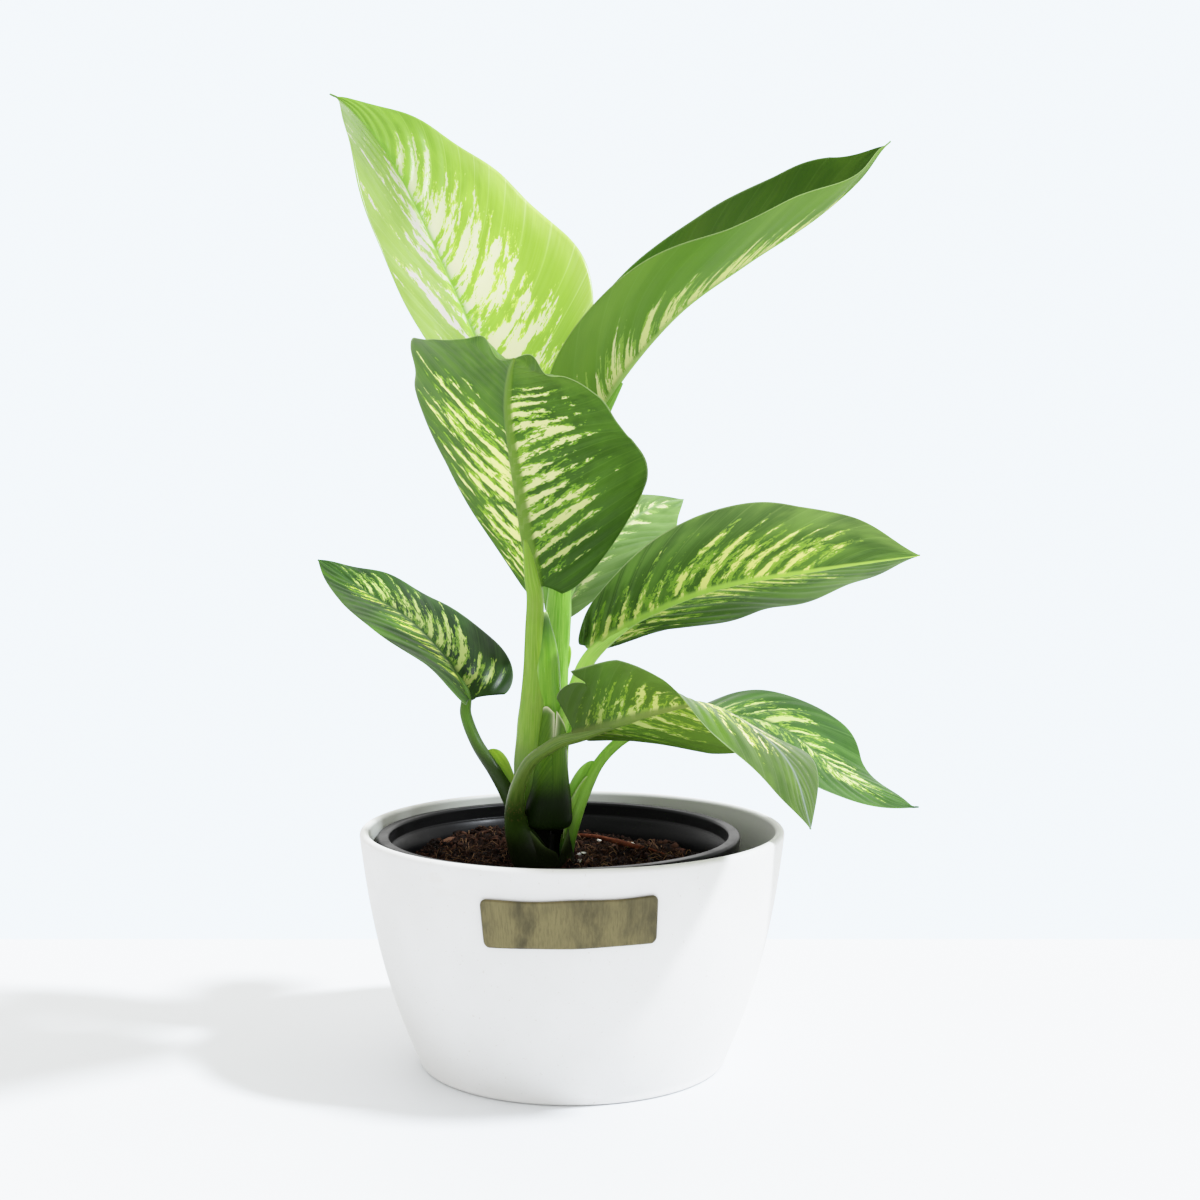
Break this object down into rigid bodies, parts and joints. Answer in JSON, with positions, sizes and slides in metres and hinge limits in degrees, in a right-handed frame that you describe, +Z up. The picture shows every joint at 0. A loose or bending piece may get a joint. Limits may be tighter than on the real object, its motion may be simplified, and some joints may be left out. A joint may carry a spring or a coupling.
{
  "type": "potted dieffenbachia",
  "caption": "Broad-leaved dieffenbachia with cream-streaked leaves on sheathed stalks, in a black nursery pot set inside a flared white planter with a blank metal plate.",
  "frame": {"origin": "middle of the planter's flat base", "axes": "+Z up through the planter's axis, the blank plate faces -Y, +X to the viewer's right"},
  "size_m": [0.2657, 0.2203, 0.4265],
  "materials": {
    "planter_glaze": "matt warm white, smooth",
    "plate_bronze": "aged brushed bronze, blank",
    "black_plastic": "satin black",
    "potting_mix": "moist crumbly mix of peat and bark",
    "dry_root": "dry, fibrous",
    "stalk": "smooth fresh green, slightly glossy",
    "leaf_young": "lime green with cream blotches, satin, lets light through",
    "leaf": "mid green with cream and lime streaks along the veins, satin to glossy"
  },
  "bodies": {
    "root": {"planter": "planter_glaze", "label_plate": "plate_bronze", "nursery_pot": "black_plastic", "potting_mix": "potting_mix", "surface_root": "dry_root", "cane": "stalk", "leaf_upper_left": "leaf_young", "leaf_upper_right": "leaf", "leaf_front": "leaf", "leaf_back": "leaf", "leaf_middle_right": "leaf", "leaf_lower_right_front": "leaf", "leaf_lower_right_back": "leaf", "leaf_lower_left": "leaf"}
  },
  "joints": []
}
